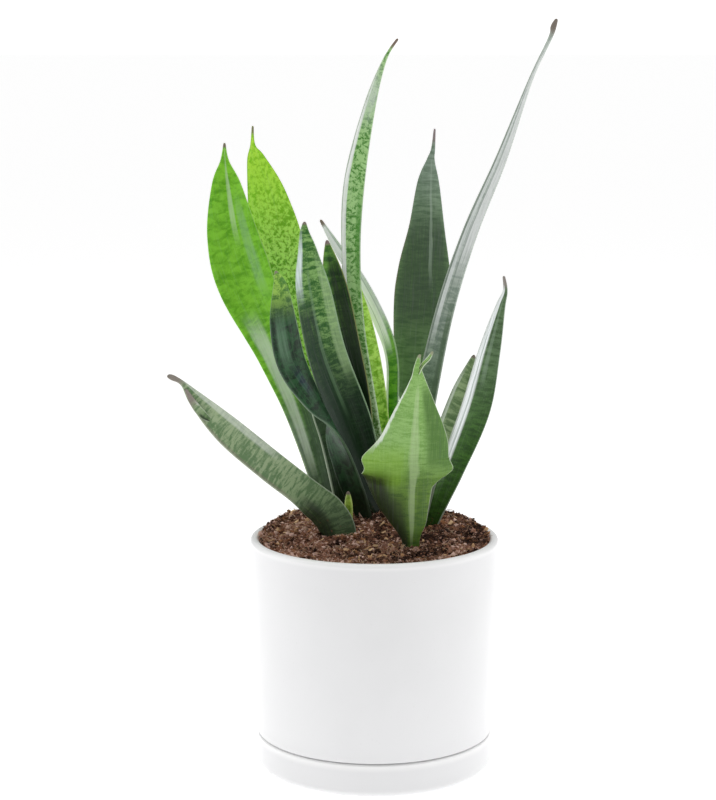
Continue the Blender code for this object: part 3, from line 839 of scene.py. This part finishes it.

# ---------------------------------------------------------------------------------------
# Tall bright leaf on the left: a young living blade, rooted in the mix, soft and thin enough
# to glow, with faint cross-bands. The pale streaks down its channel are painted reflections,
# and its lower right side is darkened with painted shade.
leaf("leaf_left_bright", 2.0, [
    (-25, 29, 124, 4.5, 10, 50, 5),
    (-28, 30, 151, 6, 10, 45, 4.4),
    (-44, 37, 209, 10, 12, 35, 3),
    (-60, 45, 249, 13.5, 12, 28, 2.4),
    (-79, 52, 292, 18.8, 10, 22, 2.2),
    (-88, 56, 322, 16.5, 5, 22, 2),
    (-92, 58, 353, 9.5, 0, 25, 1.7),
    (-93, 60, 368, 2.8, 0, 30, 1.4),
    (-93, 60, 379, 0.6, 0, 30, 0.9),
], low=("6E9060", "44623A"), high=("84C834", "5AA012"),
    turn=(0.26, 0.48), scale=(150.0, 260.0), cover=0.46, soft=0.22,
    # The first and fourth zones are painted reflections, pale streaks down the channel; the third is
    # painted shade over the lower right half.
    zones=[("BFD8AC", 0.12, 0.14, 0.74, 1.1, 0.6, 0.4), ("8CB884", 0.5, 0.22, 0.6, 0.9, 0.5, 0.4),
           ("2F4E29", 0.7, 0.85, -0.2, 0.5, 0.92, 0.0), ("D2E2CA", -0.42, 0.4, 0.16, 0.62, 0.75, 0.5),
           ("8A9C88", -1.0, 0.26, 0.0, 0.4, 0.7, 0.3)],
    margin=("C9DFA4", 0.4, 0.3), tip=("6E5C50", 4.0), foot=(60.0, 0.5), glow=0.15)

# ---------------------------------------------------------------------------------------
# Lime leaf behind it: a living blade rooted at the back left of the clump, the palest of all
# and densely flecked with darker green.
leaf("leaf_left_back", 3.0, [
    (-22, 44, 124, 4.5, 0, 40, 5),
    (-27, 47, 152, 6, 0, 40, 4.4),
    (-40, 56, 206, 10, -5, 30, 3),
    (-50, 67, 252, 14.5, -8, 20, 2.4),
    (-61, 82, 308, 17.5, -10, 16, 2.2),
    (-68, 88, 343, 12.8, -8, 18, 1.9),
    (-75, 92, 367, 6, -5, 22, 1.6),
    (-77, 93, 376, 1.6, 0, 25, 1.2),
    (-77, 94, 388, 0.6, 0, 25, 0.8),
], low=("C4F07C", "5E9E1C"), high=("BCEE4C", "92D22A"),
    turn=(0.6, 0.92), scale=(430.0, 360.0), cover=0.47, soft=0.13, fleck=0.4, warp=0.3,
    margin=("7C9A40", 0.5, 0.55), tip=("7A7A3C", 7.0), glow=0.15)

# ---------------------------------------------------------------------------------------
# Short inner leaf: a dark young blade, rooted inside the clump, that just clears the shoulder
# of the bright leaf.
leaf("leaf_short_inner", 4.0, [
    (-19, 24, 124, 3.4, 0, 40, 3.8),
    (-20, 23, 152, 3.8, 0, 40, 3.6),
    (-24, 22, 178, 4.8, 0, 30, 3),
    (-29, 20, 200, 4.8, 0, 25, 2.4),
    (-35, 18, 216, 3.6, 0, 25, 1.8),
    (-39, 17, 226, 0.8, 0, 25, 1.2),
], low=("22381C", "182A14"), high=("34542C", "1E3A1A"),
    zones=[("A3B59C", -1.0, 0.25, 0.3, 1.1, 0.6, 0.2)])

# ---------------------------------------------------------------------------------------
# Dark twisted leaf: a living blade rooted at the front of the clump. It turns half over at mid
# height, so one side shows below the turn and the other above. Its tip is yellow-green, a
# bluish sheen is painted on a little above mid height, and painted shade darkens it almost to
# black at the foot.
leaf("leaf_twisted", 5.0, [
    (-4, 20, 124, 4.5, 20, 45, 4.6),
    (-6, 18, 150, 5.5, 25, 40, 4.2),
    (-13, 12, 171, 8, 28, 30, 3.6),
    (-22, 4, 199, 9, 50, 22, 3),
    (-27, 1, 214, 9.5, 88, 20, 2.8),
    (-36, -1, 227, 10, 118, 20, 2.5),
    (-49, -6, 251, 10.5, 145, 24, 2.3),
    (-54, -9, 275, 9.2, 150, 24, 2.1),
    (-56, -12, 297, 5, 150, 24, 1.7),
    (-59, -13, 307, 0.8, 150, 24, 1.1),
], low=("2A5230", "152C1A"), high=("A4D05A", "4E8430"),
    turn=(0.83, 0.98), scale=(190.0, 220.0), soft=0.16, fleck=0.5,
    # The last zone, bluish, is a painted sheen; the heavy foot shade below is painted shade.
    zones=[("6E9474", 0.35, 0.4, 0.66, 0.9, 0.5, 0.2), ("B4C8AC", -1.0, 0.12, 0.45, 1.0, 0.6, 0.2),
           ("46604A", 1.0, 0.12, 0.4, 0.9, 0.7, 0.2), ("2C3C5C", 0.1, 0.3, 0.56, 0.72, 0.4, 0.3)],
    margin=("86A080", 0.4, 0.35), tip=("8C9A70", 2.0), foot=(80.0, 0.9))

# ---------------------------------------------------------------------------------------
# Wide centre leaf: a living blade rooted in the middle, grown as a deep channel that faces the
# front. Its left wall is darkened with painted shade and carries a painted silvery reflection
# at the top, and its right side is cross-banded beside the fold and plain toward the margin.
leaf("leaf_centre_wide", 6.0, [
    (8, 26, 124, 5, 0, 60, 5),
    (6, 26, 150, 6.5, 0, 58, 4.4),
    (-5.5, 25, 186, (13.5, 10.2), -6, (56, 52), 3.2),
    (-14.5, 22, 213, (16.5, 12.6), -8, (52, 46), 2.6),
    (-29.8, 14, 254, 13, -10, (44, 42), 2.3),
    (-38, 8, 294, (11, 11.6), -10, 40, 2),
    (-40.5, 4, 317, 6.2, -8, 36, 1.7),
    (-42, 2, 328, 3.1, -5, 30, 1.4),
    (-42, 2, 335, 0.8, 0, 30, 1),
], low=("28482A", "1A361E"), high=("86B264", "2E6420"),
    turn=(0.42, 0.78), scale=(130.0, 400.0), cover=0.53, soft=0.16, fleck=0.45,
    # The second zone is painted shade on the left wall, and the fourth a painted silvery reflection
    # at its top.
    zones=[("A6C68E", 0.78, 0.34, 0.5, 0.93, 0.6, 0.2), ("1C3824", -0.6, 0.7, -0.2, 0.82, 0.97, 0.2),
           ("7FA47C", -0.12, 0.1, 0.4, 0.9, 0.4, 0.3), ("E4F2F2", -0.9, 0.42, 0.76, 1.0, 1.0, 0.6),
           ("8FAE8A", 1.0, 0.05, 0.2, 0.95, 0.8, 0.1)],
    margin=("9CB890", 0.4, 0.3), tip=("7F7468", 2.5), foot=(85.0, 0.55))

# ---------------------------------------------------------------------------------------
# Small leaf behind it: a living blade rooted close to the wide one. Its left face is bright,
# and its right face carries painted shade so deep a green that it looks almost black.
leaf("leaf_centre_small", 7.0, [
    (-7, 38, 124, 4.2, 0, 40, 4.6),
    (-7.5, 36.5, 151, 5, 0, 36, 4.2),
    (-7.8, 32, 180, 5.8, 0, 32, 3.5),
    (-7, 29.3, 208, 6.3, 0, 28, 2.8),
    (-10.3, 28.3, 231, 6.9, 0, 26, 2.5),
    (-14.4, 27.3, 251, 7.1, 0, 25, 2.3),
    (-21.5, 25.5, 284, 7.5, 0, 24, 2),
    (-25, 24, 299.5, 6.6, 0, 24, 1.8),
    (-27.2, 23, 311, 4.2, 0, 24, 1.5),
    (-29, 22.5, 322, 0.8, 0, 24, 1),
], low=("22391F", "182C16"), high=("78B048", "2E6220"),
    # The one zone is painted shade over the right face.
    turn=(0.6, 0.9), zones=[("0E260A", 0.5, 1.15, -0.2, 1.0, 0.97, 0.0)],
    margin=("A9B36A", 0.5, 0.5), tip=("8A6E74", 4.0))

# ---------------------------------------------------------------------------------------
# Lime inner leaf: a young living blade rooted in the middle of the clump and still short, lime
# green with darker cross-bands.
leaf("leaf_lime_inner", 8.0, [
    (8, 43, 124, 3.6, 0, 36, 4.2),
    (8, 44, 151, 4, 0, 34, 3.8),
    (5, 49, 205, 4.6, 0, 28, 2.8),
    (0, 56, 237, 5.6, 0, 24, 2.4),
    (-6, 62, 267, 4.8, 0, 22, 2),
    (-11, 67, 294, 0.8, 0, 20, 1.2),
], low=("A2D248", "4A8A0E"), high=("D2FC7C", "84C02C"),
    turn=(0.3, 0.75), scale=(200.0, 330.0),
    zones=[("C6DCB0", -0.7, 0.3, 0.2, 0.9, 0.5, 0.2)],
    margin=("D6E2A6", 0.4, 0.35), glow=0.1)

# ---------------------------------------------------------------------------------------
# Arched leaf: a narrow living blade rooted at the back. It bends over to the left, and most of
# its upper half is painted near-white: a pale coat of wax with a painted silvery reflection.
leaf("leaf_arched", 9.0, [
    (13, 51, 124, 3.6, 20, 40, 4.4),
    (13, 52, 152, 4, 20, 38, 4),
    (12, 57, 208, 4.4, 24, 34, 2.9),
    (12, 61, 241, 4.6, 28, 30, 2.5),
    (6, 67, 263, 5.4, 30, 30, 2.3),
    (-8, 75, 290, 5, 25, 30, 2.1),
    (-22, 80, 310, 3.2, 10, 28, 1.7),
    (-34, 85, 329, 0.8, 0, 26, 1),
], low=("5AA414", "2E720A"), high=("7CB448", "4C8828"), turn=(0.35, 0.6),
    # The near-white zones are painted reflection over the wax.
    zones=[("DCE2E0", 0.1, 1.6, 0.6, 1.2, 0.9, 0.5), ("FAFCFC", -0.3, 0.9, 0.54, 1.1, 1.0, 0.7),
           ("A8B4AE", 0.55, 0.16, 0.6, 1.0, 0.7, 0.5),
           ("FDFEFE", -0.92, 0.34, 0.12, 0.8, 1.0, 0.7), ("8A9A8E", -0.4, 0.08, 0.5, 0.9, 0.5, 0.2)],
    margin=("E6ECE4", 0.3, 0.3), tip=("75604A", 6.0), lines=("E8EEEA", 0.0))

# ---------------------------------------------------------------------------------------
# Tall curved leaf: a narrow living blade rooted in the middle and slightly bowed. It is flecked
# all over, with a plainer green right side and a brown tip; its silvery left margin is a
# painted reflection.
leaf("leaf_tall_curved", 10.0, [
    (9, 35, 124, 4, 6, 50, 4.6),
    (8, 35, 152, 4.6, 6, 48, 4.2),
    (-3, 35, 219, 5, 8, 45, 3),
    (-11, 35, 266, 5.9, 10, 40, 2.5),
    (-14, 34, 312, 6.2, 10, 38, 2.3),
    (-12, 32, 356, 6.8, 10, 36, 2.1),
    (-3, 29, 402, 3.8, 5, 34, 1.8),
    (6, 28, 430, 1.2, 0, 30, 1.5),
    (14, 26, 443, 0.7, 0, 30, 1),
], low=("D6F0C0", "6A9C4A"), high=("A0CA84", "4A8432"),
    turn=(0.15, 0.45), scale=(300.0, 420.0), cover=0.46, soft=0.12, fleck=0.5,
    # The second zone, along the left margin, is a painted silvery reflection.
    zones=[("4A8A2E", 0.85, 0.45, 0.48, 0.74, 0.75, 0.2), ("F2F6F2", -0.82, 0.3, 0.2, 0.97, 1.0, 0.6),
           ("D2DCD2", 0.1, 1.1, 0.8, 0.97, 0.8, 0.4), ("5C7A5A", -1.0, 0.1, 0.2, 0.97, 0.7, 0.2)],
    margin=("DCE6D2", 0.3, 0.3), tip=("6A4B38", 9.0))

# ---------------------------------------------------------------------------------------
# Wide back leaf: a living blade rooted at the back with its convex side to the front, dark
# grey-green, with a short mauve-grey tip.
leaf("leaf_back_wide", 12.0, [
    (24, 46, 124, 4.6, 0, -40, 4.8),
    (24, 51, 152, 5.6, 0, -40, 4.4),
    (27, 68, 208, 10.5, 0, -34, 3.2),
    (29, 77, 248, 16.5, 0, -28, 2.6),
    (31.5, 82, 279, 19, 0, -26, 2.4),
    (32.5, 86, 300, 16.8, 0, -26, 2.2),
    (34, 90, 324, 11.8, 0, -26, 2),
    (35, 95, 352, 7.2, 0, -26, 1.7),
    (36.5, 97, 366, 2.7, 0, -26, 1.4),
    (38, 98, 373, 1.3, 0, -24, 1.2),
    (39, 99, 386, 0.6, 0, -24, 0.8),
], low=("6A8A58", "4C6A42"), high=("8C9E8E", "647866"),
    turn=(0.66, 0.95), scale=(120.0, 520.0), soft=0.3, fleck=0.3,
    zones=[("364638", 0.0, 1.2, 0.48, 0.84, 0.72, 0.1), ("A9B8A9", 0.22, 0.08, 0.6, 1.0, 0.45, 0.3),
           ("7A6F5C", -1.0, 0.06, 0.2, 0.9, 0.6, 0.0)],
    margin=("93A48E", 0.4, 0.3), tip=("8A7B86", 11.0), foot=(60.0, 0.4))

# ---------------------------------------------------------------------------------------
# Longest leaf: a living blade that leans far to the right from its root and narrows to a whip.
# Most of its length is painted silver as a reflection, with a dark line down the channel and a
# dry swollen tip.
leaf("leaf_tall_right", 13.0, [
    (19, 30, 122, 4, 0, 50, 4.8),
    (21, 32, 152, 5, 2, 50, 4.4),
    (31, 40, 214, 7.2, 4, 48, 3.2),
    (44, 49, 274, 6.2, 6, 46, 2.7),
    (60, 57, 323, 5.2, 8, 44, 2.4),
    (79, 62, 368, 3.8, 8, 40, 2.1),
    (97, 65, 417, 1.3, 5, 36, 1.8),
    (109, 66, 443, 1.2, 0, 30, 1.9),
    (111, 66, 450, 1.7, 0, 30, 2.1),
    (113, 66, 455, 0.8, 0, 30, 1.2),
# The pale grey-green of the upper blade and the two near-white zones are a painted silvery
# reflection.
], low=("608458", "44683C"), high=("B2BEB2", "86968A"),
    turn=(0.22, 0.5), scale=(90.0, 300.0), soft=0.15,
    zones=[("F0F3F2", 0.4, 0.8, 0.48, 1.0, 1.0, 0.7), ("E9EEEC", -0.62, 0.34, 0.36, 1.0, 0.85, 0.5),
           ("56704F", 0.75, 0.4, 0.08, 0.5, 0.8, 0.2), ("7F8F84", -0.1, 0.1, 0.3, 0.95, 0.7, 0.2),
           ("6A7A6C", -1.0, 0.2, 0.3, 0.97, 0.85, 0.2)],
    margin=("D0D8CE", 0.3, 0.3), tip=("6F665E", 13.0), lines=("6F8274", 0.35))

# ---------------------------------------------------------------------------------------
# Small leaf on the right: a short living blade rooted behind the right-hand leaf, which half
# hides it, pale green and finely banded.
leaf("leaf_right_small", 14.0, [
    (29, 27, 124, 3.6, 0, 40, 4.2),
    (31, 28, 152, 4, 0, 38, 3.9),
    (42, 37, 193, 6, -10, 34, 2.8),
    (53, 46, 222, 5.8, -10, 30, 2.3),
    (61, 51, 241, 2.6, -5, 28, 1.8),
    (63, 52, 247, 0.7, 0, 28, 1.2),
], low=("BCD6A4", "8CAA74"), high=("98B080", "5E7A4E"),
    zones=[("CBD8C6", -0.9, 0.3, 0.2, 0.95, 0.8, 0.3)], margin=("C5CFBE", 0.5, 0.35))

# ---------------------------------------------------------------------------------------
# Right-hand leaf: a living blade rooted at the front right, grown as a deep channel. Its left
# side is painted near-white, a pale wax with a painted reflection on it, and its right side is
# dark and banded.
leaf("leaf_right", 15.0, [
    (31, 14, 124, 4, -10, 50, 4.8),
    (34, 12, 145, 4.6, -12, 48, 4.4),
    (46, 4, 183, 9, -20, 44, 3.2),
    (59, -7, 222, 11, -24, 42, 2.6),
    (67, -15, 258, 8.2, -24, 40, 2.2),
    (74, -20, 286, 3.4, -18, 34, 1.8),
    (77, -21, 296, 1.5, -10, 30, 1.4),
    (76, -22, 305, 0.7, 0, 30, 1),
], low=("406E20", "224A0A"), high=("5C7852", "36522C"),
    turn=(0.4, 0.8), scale=(110.0, 420.0), soft=0.26,
    # The first zone is a painted silvery reflection over the wax of the left side.
    zones=[("F0F5F6", -0.74, 0.5, 0.28, 1.1, 1.0, 0.7), ("7F9386", -0.62, 0.08, 0.3, 0.9, 0.7, 0.3),
           ("93A892", 0.1, 0.2, 0.6, 1.0, 0.35, 0.2)],
    margin=("DDE4DC", 0.4, 0.45), tip=("8F8C88", 9.0), foot=(50.0, 0.45))

# ---------------------------------------------------------------------------------------
# Front leaf: a living blade, rooted at the front, that once broke across. The wide part bulges
# out over its own foot and ends in two torn shreds. The left margin is thick and pale. Painted
# shade darkens the folded part below it and the lower blade, and a painted highlight runs down
# the midrib.
front_broken_skin = leaf("leaf_front_broken", 16.0, [
    (22, -25, 122, 4.2, 0, -50, 4.6),
    (21.8, -25, 142, 5, 0, (-50, -40), 4.4),
    (21.8, -25, 148, (7.6, 5.8), 0, (-56, -34), 4.2),
    (22, -25, 156, (16.2, 9), 0, (-62, -28), 3.8),
    (22, -25, 165.5, (25.5, 10.6), 0, (-64, -24), 3.4),
    (22.2, -25.2, 174.5, (31.5, 11.8), 0, (-62, -20), 3.1),
    (22.4, -25.4, 178.5, (34, 12.4), 0, (-58, -18), 3.0),
    (22.5, -26, 182, (32.8, 16), 0, (-40, -15), 2.9),
    (22.5, -26.8, 185, (30.8, 20.6), 0, (-20, -13), 2.8),
    (22.5, -27.8, 189, (29.2, 24.6), 0, (-12, -13), 2.7),
    (22.5, -29.4, 194.5, (30.8, 22.6), 0, (-13, -16), 2.5),
    (22.5, -30.2, 197, (29.4, 22), 0, (-15, -18), 2.5),
    (22.8, -32.6, 206.5, (21.4, 21.2), 0, -22, 2.4),
    (23.2, -36, 219, (15.4, 17.4), 0, -24, 2.3),
    (23.8, -39, 228.7, (11.4, 12.9), 0, -24, 2.2),
    (24.4, -42, 238, (7.5, 8.7), 0, -24, 1.9),
    (25, -44.5, 247.5, (4, 4.2), 0, -24, 1.7),
    (25, -46, 253.5, (2.6, 2), 0, -24, 1.5),
    (25.3, -47, 259, (1.2, 1), 0, -24, 1.2),
    (26.2, -47.6, 262, 0.8, 0, -24, 1),
], rows=210, low=("6A8E34", "486A26"), high=("94BE6E", "74A04E"),
    turn=(0.35, 0.6), scale=(120.0, 560.0), cover=0.48, soft=0.22, fleck=0.5,
    # The second zone darkens the lower right and the fifth and sixth the fold with painted shade; the
    # fourth is a painted highlight down the midrib.
    zones=[("48702A", 0.84, 0.6, 0.44, 0.9, 0.92, 0.1), ("4C7228", 0.5, 0.3, 0.0, 0.46, 0.5, 0.1),
           ("94C440", -0.6, 0.6, 0.34, 0.62, 0.5, 0.1), ("BCD4A0", 0.04, 0.14, 0.1, 0.9, 0.5, 0.1),
           ("222C16", -1.0, 0.75, -0.3, 0.49, 1.0, 0.0), ("26321A", -0.7, 0.7, -0.3, 0.4, 0.9, 0.0),
           ("E6F0E2", -0.97, 0.13, 0.52, 1.0, 1.0, 0.4)],
    margin=("D6E4C8", 0.6, 0.6), tip=("A9B88E", 3.0), foot=(14.0, 0.4))
grow_blade("leaf_front_shred", 22.0, [
    (24.6, -45.2, 250, 1.4, 10, 20, 1.2),
    (27.5, -47, 255.5, 1.2, 20, 20, 1.1),
    (31, -48, 259.5, 1.2, 20, 20, 1.0),
    (33.5, -49, 264, 0.7, 0, 20, 0.8),
], front_broken_skin, "leaf_front_broken", rows=40)

# ---------------------------------------------------------------------------------------
# Sprout: a young shoot, still rolled and lime green, that comes up from the mix close against
# the clump.
leaf("sprout", 17.0, [
    (-15.5, 4, 128, 1.9, 0, 60, 2.6),
    (-15.5, 4, 151, 2.1, 0, 60, 2.6),
    (-15.8, 3, 162, 2.4, 0, 50, 2.2),
    (-16, 2.5, 170, 0.7, 0, 40, 1),
], rows=60, low=("9CBC40", "6E9222"), high=("B4D456", "84A836"), margin=("D8E498", 0.4, 0.4),
    foot=(10.0, 0.3), glow=0.1)

# ---------------------------------------------------------------------------------------
# Stage, which is not part of the object: a plain pale floor, soft light from both sides and
# above, and the camera.
floor_half = 40.0
floor_glow = 0.56
floor_mesh = bpy.data.meshes.new("floor")
floor_mesh.from_pydata([(-floor_half, -floor_half, 0), (floor_half, -floor_half, 0),
                        (floor_half, floor_half, 0), (-floor_half, floor_half, 0)],
                       [], [(0, 1, 2, 3)])
floor_paint, _, floor_shader = new_material(
    "floor_paint", 0.8, Emission_Color=(1.0, 1.0, 1.0, 1.0), Emission_Strength=floor_glow)
floor_shader.inputs["Base Color"].default_value = paint("F9F9F9")
floor_mesh.materials.append(floor_paint)
floor = bpy.data.objects.new("floor", floor_mesh)
bpy.context.scene.collection.objects.link(floor)

world = bpy.data.worlds.new("studio")
world.use_nodes = True
backdrop = world.node_tree.nodes["Background"]
backdrop.inputs[0].default_value = (1.0, 1.0, 1.0, 1.0)
seen = add(world.node_tree, "ShaderNodeLightPath").outputs["Is Camera Ray"]
room_light, backdrop_light = 0.45, 1.16
world.node_tree.links.new(
    calc(world.node_tree, "MULTIPLY_ADD", seen, backdrop_light - room_light, room_light),
    backdrop.inputs[1])
bpy.context.scene.world = world


def softbox(name, place_at, aim, size, power):
    """A soft area light, size and place in metres, power in watts."""
    lamp = bpy.data.lights.new(name, "AREA")
    lamp.shape = "RECTANGLE"
    lamp.size, lamp.size_y = size
    lamp.energy = power
    box = bpy.data.objects.new(name, lamp)
    box.location = place_at
    box.rotation_euler = (Vector(aim) - Vector(place_at)).to_track_quat("-Z", "Y").to_euler()
    bpy.context.scene.collection.objects.link(box)


plant_middle = (0.0, 0.0, 0.2)
softbox("left_box", (-1.1, 0.1, 0.7), plant_middle, (0.8, 1.4), 3.4)
softbox("right_box", (1.1, 0.1, 0.7), plant_middle, (0.8, 1.4), 3.0)
softbox("top_box", (0.0, 0.3, 1.5), plant_middle, (1.4, 1.4), 7.5)

camera_tilt_down = 9.65
camera = bpy.data.cameras.new("camera")
camera.sensor_width = 36.0
camera.lens = 97.9
view = bpy.data.objects.new("camera", camera)
view.location = (-0.010, -1.300, 0.448)
view.rotation_euler = (radians(90 - camera_tilt_down), 0.0, 0.0)
bpy.context.scene.collection.objects.link(view)
bpy.context.scene.camera = view
bpy.context.scene.view_settings.view_transform = "Standard"
